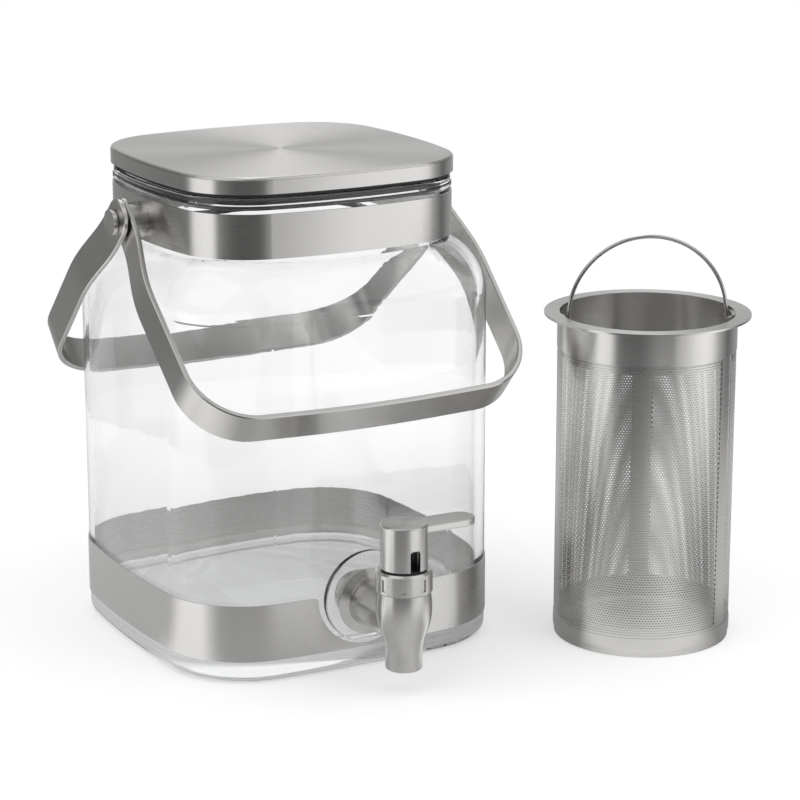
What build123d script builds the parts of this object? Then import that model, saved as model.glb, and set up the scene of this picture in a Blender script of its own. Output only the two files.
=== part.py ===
"""Cold brew coffee maker: bowed-square glass jar with steel bands, lift-off lid, two strap
handles, a lever tap and a perforated lift-out filter with a wire bail.

Frame: millimetres, +Z up, the jar's front (with the tap) faces -Y, the handles pivot on X.
The origin is the centre of the jar's base, on the surface that it stands on.
"""
from build123d import *
import math
import os

# ---------------------------------------------------------------- clearances
REST_GAP = 0.3            # between pieces of different bodies that rest on each other
SIDE_GAP = 0.1            # each side of a handle eye, along its pin
PIN_CLEAR = 0.05          # radial, a turning eye on its pin
RUN_CLEAR = 0.06          # radial, stem in bonnet and in cup
FIT_GAP = 0.03            # fixed pieces that are fitted into each other
FACE_CHAMFER = 0.6        # round bosses, heads and nuts

# ---------------------------------------------------------------- jar
BODY_WIDTH = 162.0        # across the base band, at the middle of the sides
BODY_CORNER = 40.0        # radius of the vertical corners
BODY_BOW = 450.0          # radius of the bowed sides, seen from above
BAND_SHEET = 0.5
BAND_LOW = 10.4
BAND_HIGH = 36.0
WALL = 4.0
FLOOR = 12.0              # thickness of the jar's base
HEEL_RADIUS = 5.0
INNER_HEEL = 7.0
SHOULDER_LOW = 160.0      # where the straight wall ends
SHOULDER_RADIUS = 28.0

NECK_STEP = 12.7          # neck band's outer face inside the base band's
NECK_CORNER = 34.4
NECK_BOW = 227.0
NECK_SHEET = 0.7
NECK_LOW = 186.1
NECK_HIGH = 205.6
RIM_TOP = 212.3
RIM_ROUND = 1.2
BEAD_LOW = 207.2
BEAD_HEIGHT = 2.6
BEAD_INSET = 0.15         # from the neck band's outer face

# ---------------------------------------------------------------- lid
LID_CORNER = 34.7
LID_BOW = 275.0
LID_HEIGHT = 7.4          # of the cover, with its skirt
LID_SHEET = 0.8
LID_EDGE = 1.6
SEAL_THICK = 1.6
SEAL_INSET = 1.1          # the seal's edge behind the skirt
SEAL_SLEEVE = 1.6
LINER_WALL = 1.8
PLUG_DEPTH = 8.2          # below the cover's skirt
LINER_FLANGE = 1.8

# ---------------------------------------------------------------- handles
PIVOT_Z = 195.4
BOSS_DIAMETER = 16.0
BOSS_STAND = 7.4          # outer face of the pivot boss, from the neck band
PIN_DIAMETER = 6.0
PIN_HEAD_DIAMETER = 11.5
PIN_HEAD_THICK = 2.4
SPACER_DIAMETER = 13.0
SPACER_THICK = 0.8
STRAP_WIDTH = 17.4
STRAP_THICK = 2.3
STRAP_EDGE = 0.4
EYE_OVER = 2.5            # centre of the eye's round end, beyond the pin
EYE_BEND_REACH = 13.0     # from the pin to the corner of the line that the eye's bend rounds
KNEE_REACH = 40.0         # where the arm has come out past the shoulder
KNEE_MARGIN = 0.9         # the line's corner at the knee, outside the glass
HANDLE_REACH = 118.0      # pin to the outer face of the inner crossbar
ARM_DRAW = 2.0            # how far the arms come back in before the corner
CROSS_TILT = 2.2          # lean of each half of the crossbar, in degrees
EYE_BEND = 80.0
KNEE_BEND = 80.0
CORNER_BEND = 26.7
CROSS_BEND = 900.0

# ---------------------------------------------------------------- tap
TAP_Z = 32.0              # axis of the shank
TAP_Y = -115.0            # axis of the nozzle and stem
NOTCH_RADIUS = 23.6
NOTCH_DROP = 0.5          # centre of the notch below the band's upper edge
NOTCH_CORNER = 2.0
GLASS_BOSS_DIAMETER = 41.6
GLASS_BOSS_RISE = 2.0     # centre of the glass boss above the shank's axis
GLASS_BOSS_PROUD = 2.0
HOLE_DIAMETER = 17.0
SHANK_DIAMETER = 20.6
THREAD_DIAMETER = 16.0
THREAD_END = 14.0         # thread past the jar's inner wall
SHANK_BORE = 10.0
OUTER_GASKET_DIAMETER = 27.0
OUTER_GASKET_THICK = 0.6
FLANGE_DIAMETER = 30.0
FLANGE_EDGE = 0.6
FLANGE_THICK = 2.0        # at the foot of its cone
HUB_DIAMETER = 22.0
HUB_THICK = 0.6
INNER_GASKET_DIAMETER = 25.0
INNER_GASKET_THICK = 2.0
NUT_ACROSS = 21.5
NUT_THICK = 6.0
NOZZLE_LOW = 11.0
NOZZLE_DIAMETER = 16.3
NOZZLE_LENGTH = 7.0        # straight pipe below the flare
BELLY_DIAMETER = 24.4
BELLY_Z = 38.5
TAP_TOP = 46.6
TAP_TOP_DIAMETER = 23.2
OUTLET_DIAMETER = 12.0
SEAT_Z = 22.5
SEAT_BORE = 14.0
SEAT_DEPTH = 3.5
CHAMBER_LOW = 30.0
CHAMBER_BORE = 18.0
BONNET_BORE = 20.4        # where the bonnet screws in
BONNET_DIAMETER = 24.8
BONNET_TOP = 56.2
BONNET_CHAMFER = 0.9
GRIP_GROOVES = 8
GRIP_PHASE = 16.0         # direction of the first groove, in degrees
SEAM_CHAMFER = 0.3        # each side of the seam between bonnet and body
GROOVE_WIDTH = 1.8
GROOVE_DEPTH = 0.6
GROOVE_LAND = 1.6         # plain ring above and below the grooves
STEM_DIAMETER = 6.6
STEM_LOW = 26.5
STEM_NECK_DIAMETER = 4.2
STEM_KNOB_HEIGHT = 2.4
STEM_NECK_HEIGHT = 3.0
CUP_NOSE_DIAMETER = 13.2
CUP_WAIST_DIAMETER = 10.4
CUP_LIP_DIAMETER = 17.4
CUP_NOSE_HEIGHT = 3.0
CUP_WAIST_Z = 33.0
CUP_TOP = 38.4
GLIDE_DIAMETER = 19.0
GLIDE_THICK = 0.6
CAP_DIAMETER = 20.8
CAP_TOP = 76.6
CAP_EDGE = 0.7
CAP_CAVITY_DIAMETER = 15.2
CAP_CAVITY_HEIGHT = 10.2
SLOT_WIDTH = 4.8
SLOT_HEIGHT = 9.5
SLOT_CORNER = 1.3
CROSS_PIN_DIAMETER = 3.0
CROSS_PIN_RISE = 12.5     # above the cap's lower edge
CROSS_PIN_LENGTH = 15.0
CROSS_PIN_PLAY = 0.1
PRESS_ANGLE = 9.0         # travel of the lever, in degrees
ROCK_OUT = 0.2            # rocking line outside the cap's edge
TANG_THICK = 4.6
TANG_WALL = 2.2           # round the slot for the cross pin
LEVER_REACH = 34.0
LEVER_WIDTH = 13.4
LEVER_THICK = 3.2
LEVER_DROP = 0.9          # its top below the cap's top
LEVER_EDGE = 0.6

# ---------------------------------------------------------------- filter
FILTER_X = 135.7
FILTER_Y = -96.0
FILTER_DIAMETER = 81.0
FILTER_SHEET = 0.5
FILTER_TOP = 150.6
RIM_DIAMETER = 93.0
RIM_SHEET = 0.9
RIM_OPENING = 79.0
COLLAR_LOW = 135.0        # lower edge of the plain collar
COLLAR_OVERLAP = 4.0      # collar sleeve inside the tube
STRIP_ANGLES = (-62.0, 58.0, 161.0)   # plain strips along the tube, about its axis
STRIP_WIDTH = 12.7
GRID_PITCH = 18.0         # about, round the tube: each field between strips has whole openings
GRID_ROWS = 6
GRID_BAR = 4.0            # sheet left between two openings
BASE_CUP_HEIGHT = 9.0
BASE_SHEET = 0.8
BASE_EDGE = 4.0
BAIL_WIRE = 1.7
BAIL_SPAN = 72.0          # between the middles of the legs
BAIL_TOP = 185.6
BAIL_Z = 146.6            # axis of the feet
BAIL_ANGLE = -22.5        # direction of the feet, about the filter's axis
FOOT_BEND = 1.8
FOOT_PLAY = 0.06          # radial, a foot in its lug
FOOT_SHORT = 0.4          # end of a foot to the collar
LUG_WIDTH = 8.0
LUG_HEIGHT = 6.0
LUG_EDGE = 1.0

# ---------------------------------------------------------------- derived places
BODY = (BODY_WIDTH / 2, BODY_CORNER, BODY_BOW)
NECK_HALF = BODY_WIDTH / 2 - NECK_STEP
NECK = (NECK_HALF, NECK_CORNER, NECK_BOW)
LID = (NECK_HALF, LID_CORNER, LID_BOW)
GLASS_INSET = BAND_SHEET + FIT_GAP
GLASS_HALF = BODY_WIDTH / 2 - GLASS_INSET
INNER_HALF = GLASS_HALF - WALL
BODY_TOP = SHOULDER_LOW + SHOULDER_RADIUS
NECK_INSET = NECK_SHEET + FIT_GAP
MOUTH_INSET = NECK_INSET + WALL
PLUG_INSET = MOUTH_INSET + REST_GAP + SEAL_SLEEVE + FIT_GAP
SKIRT_LOW = RIM_TOP + REST_GAP + SEAL_THICK
LID_TOP = SKIRT_LOW + LID_HEIGHT
LINER_LOW = SKIRT_LOW - PLUG_DEPTH
BOSS_FACE = NECK_HALF + BOSS_STAND
EYE_FACE = BOSS_FACE + SIDE_GAP
STRAP_PITCH = STRAP_THICK + SPACER_THICK + 2 * SIDE_GAP
CROSS_INSIDE = HANDLE_REACH - STRAP_THICK
PIN_HEAD_FACE = EYE_FACE + STRAP_PITCH + STRAP_THICK + SIDE_GAP
BOSS_FRONT = GLASS_HALF + GLASS_BOSS_PROUD
FLANGE_BACK = BOSS_FRONT + OUTER_GASKET_THICK
CAP_LOW = BONNET_TOP + GLIDE_THICK + 2 * SIDE_GAP
PIN_Z = CAP_LOW + CROSS_PIN_RISE
ROCK_X = CAP_DIAMETER / 2 + ROCK_OUT
PRESS = math.radians(PRESS_ANGLE)
PIN_SHIFT = CROSS_PIN_RISE * math.sin(PRESS) + ROCK_X * (1 - math.cos(PRESS))
VALVE_LIFT = ROCK_X * math.sin(PRESS) - CROSS_PIN_RISE * (1 - math.cos(PRESS))
SKIRT_END = CUP_TOP + VALVE_LIFT + REST_GAP
SLEEVE_RADIUS = FILTER_DIAMETER / 2 - FILTER_SHEET - FIT_GAP
FILTER_PLACE = Pos(FILTER_X, FILTER_Y, 0)

# ---------------------------------------------------------------- bowed-square outlines
def bowed_square(outline, inset=0.0):
    """Face of a square with bowed sides and round corners, moved in by inset all round."""
    half, corner, bow = (size - inset for size in outline)
    offset = bow - half
    # the corner arc's centre (c, c) lies bow - corner from the side arc's centre (-offset, 0)
    c = (-offset + math.sqrt(2 * (bow - corner) ** 2 - offset ** 2)) / 2
    turn = math.atan2(c, c + offset)
    side_x, side_y = c + corner * math.cos(turn), c + corner * math.sin(turn)
    diagonal = c + corner * math.sqrt(0.5)
    side = ThreePointArc((side_x, -side_y), (half, 0), (side_x, side_y))
    round_corner = ThreePointArc((side_x, side_y), (diagonal, diagonal), (side_y, side_x))
    arcs = []
    for quarter in range(4):
        arcs.append(side.rotate(Axis.Z, 90 * quarter))
        arcs.append(round_corner.rotate(Axis.Z, 90 * quarter))
    return make_face(arcs)


def prism(outline, inset, low, high):
    """Upright prism of a bowed square between two heights."""
    return extrude(Pos(0, 0, low) * bowed_square(outline, inset), high - low)


def edges_at(solid, height):
    """Edges of the solid that lie in the horizontal plane at a height."""
    return solid.edges().filter_by_position(Axis.Z, height - 1e-4, height + 1e-4)


def rod(radius, start, length, direction):
    """Cylinder from a start point along a direction."""
    return extrude(Plane(origin=start, z_dir=direction) * Circle(radius), length)


def lathe(points):
    """Solid of revolution about Z from (radius, height) points joined by straight lines."""
    outline = Polyline(*[(radius, 0, height) for radius, height in points], close=True)
    return revolve(make_face(outline), Axis.Z)


def ring(outer_radius, inner_radius, low, high):
    """Upright ring about Z."""
    return extrude(Pos(0, 0, low) * (Circle(outer_radius) - Circle(inner_radius)), high - low)


# ---------------------------------------------------------------- jar
def glass_outside():
    """The jar's outer form: body with a round heel and shoulder, neck with a bead."""
    body = prism(BODY, GLASS_INSET, 0, BODY_TOP)
    body = fillet(edges_at(body, BODY_TOP), SHOULDER_RADIUS)
    body = fillet(edges_at(body, 0), HEEL_RADIUS)
    neck = prism(NECK, NECK_INSET, SHOULDER_LOW, RIM_TOP)
    neck = fillet(edges_at(neck, RIM_TOP), RIM_ROUND)
    bead = prism(NECK, BEAD_INSET, BEAD_LOW, BEAD_LOW + BEAD_HEIGHT)
    bead = chamfer(edges_at(bead, BEAD_LOW) + edges_at(bead, BEAD_LOW + BEAD_HEIGHT), BEAD_HEIGHT / 4)
    return body + neck + bead


def glass_inside():
    """The jar's hollow: body space with round edges, and the mouth above it."""
    high = BODY_TOP - WALL
    space = prism(BODY, GLASS_INSET + WALL, FLOOR, high)
    space = fillet(edges_at(space, high), SHOULDER_RADIUS - WALL)
    space = fillet(edges_at(space, FLOOR), INNER_HEEL)
    return space + prism(NECK, MOUTH_INSET, SHOULDER_LOW, RIM_TOP + WALL)


def glass_jar():
    """Thick glass jar with a flat boss and a hole for the tap."""
    start = (0, WALL / 2 - GLASS_HALF, TAP_Z + GLASS_BOSS_RISE)
    boss = rod(GLASS_BOSS_DIAMETER / 2, start, WALL / 2 + GLASS_BOSS_PROUD, (0, -1, 0))
    boss = fillet(boss.faces().sort_by(Axis.Y)[0].edges(), GLASS_BOSS_PROUD / 3)
    hole = rod(HOLE_DIAMETER / 2, (0, WALL - INNER_HALF, TAP_Z), BODY_WIDTH / 2, (0, -1, 0))
    return glass_outside() + boss - glass_inside() - hole


def neck_band():
    """Steel band round the jar's neck."""
    return prism(NECK, 0, NECK_LOW, NECK_HIGH) - prism(NECK, NECK_SHEET, NECK_LOW, NECK_HIGH)


def base_band():
    """Steel band round the base, with a round notch that leaves the tap's boss free."""
    band = prism(BODY, 0, BAND_LOW, BAND_HIGH) - prism(BODY, BAND_SHEET, BAND_LOW, BAND_HIGH)
    above = Pos(0, BAND_HIGH + NOTCH_RADIUS) * Rectangle(3 * NOTCH_RADIUS, 2 * NOTCH_RADIUS)
    notch = above + Pos(0, BAND_HIGH - NOTCH_DROP) * Circle(NOTCH_RADIUS)
    corners = notch.vertices().filter_by_position(Axis.Y, BAND_HIGH - 0.01, BAND_HIGH + 0.01)
    inner = corners.filter_by_position(Axis.X, -1.2 * NOTCH_RADIUS, 1.2 * NOTCH_RADIUS)
    notch = fillet(inner, NOTCH_CORNER)
    return band - extrude(Plane.XZ * notch, BODY_WIDTH)


# ---------------------------------------------------------------- lid
def lid_cover():
    """Pressed steel cover with a soft upper edge and a short skirt."""
    shell = prism(LID, 0, SKIRT_LOW, LID_TOP)
    shell = fillet(edges_at(shell, LID_TOP), LID_EDGE)
    return shell - prism(LID, LID_SHEET, SKIRT_LOW, LID_TOP - LID_SHEET)


def lid_plug():
    """Inner pan of the lid: a flange inside the skirt and a plug that enters the mouth."""
    plug = prism(NECK, PLUG_INSET, LINER_LOW, SKIRT_LOW + LINER_FLANGE)
    plug = chamfer(edges_at(plug, LINER_LOW), LINER_WALL)
    low = SKIRT_LOW + FIT_GAP
    flange = prism(LID, LID_SHEET + FIT_GAP, low, SKIRT_LOW + LINER_FLANGE)
    hollow = prism(NECK, PLUG_INSET + LINER_WALL, LINER_LOW + LINER_WALL, LID_TOP)
    return plug + flange - hollow


def lid_gasket():
    """Soft seal: a flat flange over the rim, and a sleeve round the plug."""
    low = SKIRT_LOW - SEAL_THICK
    flange = prism(LID, SEAL_INSET, low, SKIRT_LOW)
    flange = chamfer(edges_at(flange, low), SEAL_THICK / 3)
    sleeve = prism(NECK, MOUTH_INSET + REST_GAP, LINER_LOW + SEAL_SLEEVE, SKIRT_LOW)
    inside = prism(NECK, PLUG_INSET - FIT_GAP, LINER_LOW, LID_TOP)
    return flange + sleeve - inside


# ---------------------------------------------------------------- handles
def pivot_boss(side):
    """Round boss on the neck band that carries a handle pin."""
    boss = rod(BOSS_DIAMETER / 2, (0, 0, PIVOT_Z), BOSS_FACE, (side, 0, 0))
    boss = chamfer(boss.faces().sort_by(Axis.X)[side].edges(), FACE_CHAMFER)
    boss -= prism(NECK, -FIT_GAP, NECK_LOW - BOSS_DIAMETER, NECK_HIGH + BOSS_DIAMETER)
    return boss - rod(PIN_DIAMETER / 2 + FIT_GAP, (0, 0, PIVOT_Z), 2 * BOSS_FACE, (side, 0, 0))


def pivot_pin(side):
    """Pin with a chamfered head; its shank carries two handle eyes and a spacer."""
    start = NECK_HALF + 2 * FIT_GAP
    shank = rod(PIN_DIAMETER / 2, (side * start, 0, PIVOT_Z), PIN_HEAD_FACE - start, (side, 0, 0))
    head_at = (side * PIN_HEAD_FACE, 0, PIVOT_Z)
    head = rod(PIN_HEAD_DIAMETER / 2, head_at, PIN_HEAD_THICK, (side, 0, 0))
    head = chamfer(head.faces().sort_by(Axis.X)[side].edges(), FACE_CHAMFER)
    return shank + head


def pivot_spacer(side):
    """Thin washer between the two handle eyes."""
    start = EYE_FACE + STRAP_THICK + SIDE_GAP
    washer = rod(SPACER_DIAMETER / 2, (side * start, 0, PIVOT_Z), SPACER_THICK, (side, 0, 0))
    return washer - rod(PIN_DIAMETER / 2 + FIT_GAP, (0, 0, PIVOT_Z), 2 * start, (side, 0, 0))


def handle(outwards):
    """Strap handle hanging straight down: bent strip with round eyes, in the XZ plane.

    The eye stands parallel to the boss, the arm bends out past the jar's shoulder, comes back
    in a little, turns the corner and runs into the bowed crossbar. A second handle that swings
    over the first is the same line moved outwards.
    """
    knee = GLASS_HALF + KNEE_MARGIN
    corner = knee - ARM_DRAW
    tilt = math.radians(CROSS_TILT)
    apex = CROSS_INSIDE + CROSS_BEND * (1 / math.cos(tilt) - 1)
    points = [(EYE_FACE, STRAP_WIDTH), (EYE_FACE, -EYE_BEND_REACH), (knee, -KNEE_REACH)]
    points.append((corner, corner * math.tan(tilt) - apex))
    mirrored = [(-x, z) for x, z in reversed(points)]
    bends = [EYE_BEND, KNEE_BEND, CORNER_BEND]
    radii = [*bends, CROSS_BEND, *reversed(bends)]
    line = FilletPolyline(*points, (0, -apex), *mirrored, radius=radii)
    strip = make_face(offset(line, outwards + STRAP_THICK, side=Side.LEFT))
    if outwards:
        strip -= make_face(offset(line, outwards, side=Side.LEFT))
    strap = extrude(Plane.XZ * strip, STRAP_WIDTH, both=True)
    side_view = Pos(0, EYE_OVER) * Circle(STRAP_WIDTH / 2)
    length = 2 * HANDLE_REACH
    side_view += Pos(0, EYE_OVER - length / 2) * Rectangle(STRAP_WIDTH, length)
    strap &= extrude(Plane.YZ * side_view, 2 * knee, both=True)
    rims = strap.edges().filter_by_position(Axis.Y, -STRAP_WIDTH, STRAP_WIDTH)
    rims = [edge for edge in rims if abs(abs(edge.center().Y) - STRAP_WIDTH / 2) < 1e-3]
    strap = chamfer(rims, STRAP_EDGE)
    return strap - rod(PIN_DIAMETER / 2 + PIN_CLEAR, (-2 * knee, 0, 0), 4 * knee, (1, 0, 0))


def seated(strap, inside, side):
    """The strap lifted to its pivot and turned until its crossbar rests at the jar's face."""
    across = STRAP_WIDTH / 2
    wall = GLASS_HALF + REST_GAP
    turn = math.degrees(math.asin(wall / math.hypot(inside, across)) + math.atan2(across, inside))
    return Pos(0, 0, PIVOT_Z) * Rot(-side * turn, 0, 0) * strap


# ---------------------------------------------------------------- tap
def tap_profile():
    """Outer line of the goblet-shaped tap body, as a closed face in the XZ plane."""
    foot, belly, top = NOZZLE_DIAMETER / 2, BELLY_DIAMETER / 2, TAP_TOP_DIAMETER / 2
    throat = NOZZLE_LOW + NOZZLE_LENGTH
    middle = ((foot + belly) / 2, (throat + BELLY_Z) / 2)
    base = Polyline((0, NOZZLE_LOW), (foot - FACE_CHAMFER, NOZZLE_LOW), (foot, NOZZLE_LOW + FACE_CHAMFER),
                    (foot, throat))
    hollow = TangentArc((foot, throat), middle, tangent=(0, 1))
    swell = TangentArc((belly, BELLY_Z), middle, tangent=(0, -1))
    crown = TangentArc((belly, BELLY_Z), (top, TAP_TOP - SEAM_CHAMFER), tangent=(0, 1))
    rim = [(top, TAP_TOP - SEAM_CHAMFER), (top - SEAM_CHAMFER, TAP_TOP), (0, TAP_TOP)]
    close = Polyline(*rim, (0, NOZZLE_LOW))
    return make_face([*base.edges(), hollow, swell, crown, *close.edges()])


def spigot_body():
    """Tap body, one casting: goblet with outlet, seat and chamber, shank, flange and thread."""
    to_axis = Pos(0, TAP_Y, 0)
    body = to_axis * revolve(Plane.XZ * tap_profile(), Axis.Z)
    flange, hub, shank = FLANGE_DIAMETER / 2, HUB_DIAMETER / 2, SHANK_DIAMETER / 2
    hub_front = FLANGE_THICK + HUB_THICK
    points = [(0, 0), (flange, 0), (flange, FLANGE_EDGE), (hub, FLANGE_THICK), (hub, hub_front)]
    points += [(shank, hub_front), (shank, -TAP_Y - FLANGE_BACK), (0, -TAP_Y - FLANGE_BACK)]
    body += Plane(origin=(0, -FLANGE_BACK, TAP_Z), z_dir=(0, -1, 0)) * lathe(points)
    thread_end = INNER_HALF - THREAD_END
    thread = rod(THREAD_DIAMETER / 2, (0, -FLANGE_BACK, TAP_Z), FLANGE_BACK - thread_end, (0, 1, 0))
    body += chamfer(thread.faces().sort_by(Axis.Y)[-1].edges(), FACE_CHAMFER)
    body -= rod(SHANK_BORE / 2, (0, TAP_Y, TAP_Z), -TAP_Y, (0, 1, 0))
    seat, chamber, screwed = SEAT_BORE / 2, CHAMBER_BORE / 2, BONNET_BORE / 2
    way = [(0, NOZZLE_LOW - 1), (OUTLET_DIAMETER / 2, NOZZLE_LOW - 1)]
    way += [(OUTLET_DIAMETER / 2, SEAT_Z), (seat, SEAT_Z), (seat, SEAT_Z + SEAT_DEPTH)]
    way += [(chamber, CHAMBER_LOW), (chamber, SKIRT_END), (screwed, SKIRT_END)]
    way += [(screwed, TAP_TOP + 1), (0, TAP_TOP + 1)]
    return body - to_axis * lathe(way)


def spigot_outer_gasket():
    """Flat seal between the tap's flange and the glass boss."""
    disc = rod(OUTER_GASKET_DIAMETER / 2, (0, -FLANGE_BACK, TAP_Z), OUTER_GASKET_THICK, (0, 1, 0))
    return disc - rod(THREAD_DIAMETER / 2 + FIT_GAP, (0, TAP_Y, TAP_Z), -TAP_Y, (0, 1, 0))


def spigot_inner_gasket():
    """Soft washer that follows the curve of the jar's inner wall."""
    low = INNER_HALF - INNER_GASKET_THICK
    disc = rod(INNER_GASKET_DIAMETER / 2, (0, -low, TAP_Z), 2 * INNER_GASKET_THICK, (0, -1, 0))
    disc &= prism(BODY, GLASS_INSET + WALL, 0, 3 * TAP_Z)
    return disc - rod(THREAD_DIAMETER / 2 + FIT_GAP, (0, TAP_Y, TAP_Z), -TAP_Y, (0, 1, 0))


def spigot_lock_nut():
    """Hexagon nut that draws the tap against the wall, inside the jar."""
    high = INNER_HALF - INNER_GASKET_THICK
    plane = Plane(origin=(0, -high, TAP_Z), x_dir=(1, 0, 0), z_dir=(0, 1, 0))
    hexagon = RegularPolygon(NUT_ACROSS / 2, 6, major_radius=False)
    nut = extrude(plane * hexagon, NUT_THICK)
    turned = extrude(plane * Circle(NUT_ACROSS / 2 + FACE_CHAMFER), NUT_THICK)
    nut &= chamfer(turned.edges().filter_by(GeomType.CIRCLE), FACE_CHAMFER)
    return nut - rod(THREAD_DIAMETER / 2 + FIT_GAP, (0, -INNER_HALF, TAP_Z), INNER_HALF, (0, 1, 0))


def spigot_bonnet():
    """Screwed bonnet: stem bore, skirt in the body and a collar with grip grooves."""
    out, skirt = BONNET_DIAMETER / 2, BONNET_BORE / 2 - FIT_GAP
    low = TAP_TOP + FIT_GAP
    bore = STEM_DIAMETER / 2 + RUN_CLEAR
    points = [(bore, SKIRT_END + FIT_GAP), (skirt, SKIRT_END + FIT_GAP), (skirt, low)]
    points += [(out - SEAM_CHAMFER, low), (out, low + SEAM_CHAMFER)]
    points += [(out, BONNET_TOP - BONNET_CHAMFER), (out - BONNET_CHAMFER, BONNET_TOP)]
    points += [(bore, BONNET_TOP)]
    bonnet = lathe(points)
    height = BONNET_TOP - BONNET_CHAMFER - low - 2 * GROOVE_LAND
    groove = Pos(out, 0, low + GROOVE_LAND + height / 2)
    groove *= Box(2 * GROOVE_DEPTH, GROOVE_WIDTH, height)
    for number in range(GRIP_GROOVES):
        bonnet -= Rot(0, 0, 360 / GRIP_GROOVES * number + GRIP_PHASE) * groove
    return Pos(0, TAP_Y, 0) * bonnet


def valve_stem():
    """Stem with a necked knob for the seat cup below and a slotted tang in the cap above."""
    body, neck = STEM_DIAMETER / 2, STEM_NECK_DIAMETER / 2
    neck_low = STEM_LOW + STEM_KNOB_HEIGHT
    neck_high = neck_low + STEM_NECK_HEIGHT
    high = tang_low()
    knob = body - RUN_CLEAR
    points = [(0, STEM_LOW), (knob - FACE_CHAMFER, STEM_LOW), (knob, STEM_LOW + FACE_CHAMFER)]
    points += [(knob, neck_low), (neck, neck_low), (neck, neck_high), (body, neck_high)]
    points += [(body, high), (0, high)]
    slot_length = PIN_SHIFT + CROSS_PIN_DIAMETER + 2 * CROSS_PIN_PLAY
    slot_height = CROSS_PIN_DIAMETER + 2 * CROSS_PIN_PLAY
    top = PIN_Z + slot_height / 2 + TANG_WALL
    size = (slot_length + 2 * TANG_WALL, TANG_THICK, top - high)
    tang = Pos(PIN_SHIFT / 2, 0, (top + high) / 2) * Box(*size)
    tang = chamfer(tang.edges().filter_by(Axis.Y).group_by(Axis.Z)[-1], FACE_CHAMFER)
    slot = Plane.XZ * Pos(PIN_SHIFT / 2, PIN_Z) * SlotOverall(slot_length, slot_height)
    stem = lathe(points) + tang - extrude(slot, TANG_THICK, both=True)
    return Pos(0, TAP_Y, 0) * stem


def tang_low():
    """Height at which the stem's shaft ends and its tang begins."""
    return CAP_LOW + CAP_CAVITY_HEIGHT - FACE_CHAMFER


def valve_seat_plug():
    """Silicone seat cup: nose on the seat, waist, and a lip that seals the chamber's top."""
    nose, waist, lip = CUP_NOSE_DIAMETER / 2, CUP_WAIST_DIAMETER / 2, CUP_LIP_DIAMETER / 2
    low = SEAT_Z + REST_GAP
    socket, neck, body = STEM_DIAMETER / 2, STEM_NECK_DIAMETER / 2, STEM_DIAMETER / 2 + FIT_GAP
    neck_low = STEM_LOW + STEM_KNOB_HEIGHT
    neck_high = neck_low + STEM_NECK_HEIGHT
    points = [(0, low), (nose - FACE_CHAMFER, low), (nose, low + FACE_CHAMFER)]
    points += [(nose, low + CUP_NOSE_HEIGHT), (waist, CUP_WAIST_Z - CUP_NOSE_HEIGHT)]
    points += [(waist, CUP_WAIST_Z), (lip, CUP_TOP - CUP_NOSE_HEIGHT), (lip, CUP_TOP)]
    points += [(lip - FACE_CHAMFER, CUP_TOP), (waist, CUP_TOP - FACE_CHAMFER)]
    points += [(body, CUP_TOP - FACE_CHAMFER), (body, neck_high - FIT_GAP)]
    points += [(neck + FIT_GAP, neck_high - FIT_GAP), (neck + FIT_GAP, neck_low + FIT_GAP)]
    points += [(socket, neck_low + FIT_GAP), (socket, STEM_LOW - FIT_GAP), (0, STEM_LOW - FIT_GAP)]
    return Pos(0, TAP_Y, 0) * lathe(points)


def lever_glide_washer():
    """Dark washer on which the lever's cap turns and rocks."""
    low = BONNET_TOP + SIDE_GAP
    hole = STEM_DIAMETER / 2 + REST_GAP
    return Pos(0, TAP_Y, 0) * ring(GLIDE_DIAMETER / 2, hole, low, low + GLIDE_THICK)


def tap_lever():
    """Lever cap and tongue, one casting, hollow for the stem's tang."""
    cap = Pos(0, 0, CAP_LOW) * extrude(Circle(CAP_DIAMETER / 2), CAP_TOP - CAP_LOW)
    cap = fillet(edges_at(cap, CAP_TOP), CAP_EDGE)
    tip = LEVER_REACH - LEVER_WIDTH / 2
    plan = Pos(tip, 0) * Circle(LEVER_WIDTH / 2) + Pos(tip / 2, 0) * Rectangle(tip, LEVER_WIDTH)
    top = CAP_TOP - LEVER_DROP
    tongue = extrude(Pos(0, 0, top - LEVER_THICK) * plan, LEVER_THICK)
    rims = edges_at(tongue, top) + edges_at(tongue, top - LEVER_THICK)
    tongue = fillet([edge for edge in rims if edge.center().X > 1], LEVER_EDGE)
    cap += tongue
    cavity = Pos(0, 0, CAP_LOW) * extrude(Circle(CAP_CAVITY_DIAMETER / 2), CAP_CAVITY_HEIGHT)
    cap -= cavity
    cap -= tang_pocket()
    slot = Pos(0, CAP_LOW) * RectangleRounded(SLOT_WIDTH, 2 * SLOT_HEIGHT, SLOT_CORNER)
    cap -= extrude(Plane.XZ * slot, CAP_DIAMETER)
    pin = rod(CROSS_PIN_DIAMETER / 2 + FIT_GAP, (0, CAP_DIAMETER, PIN_Z), pin_reach(), (0, -1, 0))
    return Pos(0, TAP_Y, 0) * (cap - pin)


def pin_reach():
    """Depth of the cross pin's blind hole, from one cap diameter behind the axis."""
    return CAP_DIAMETER + CROSS_PIN_LENGTH / 2 + FIT_GAP


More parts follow.
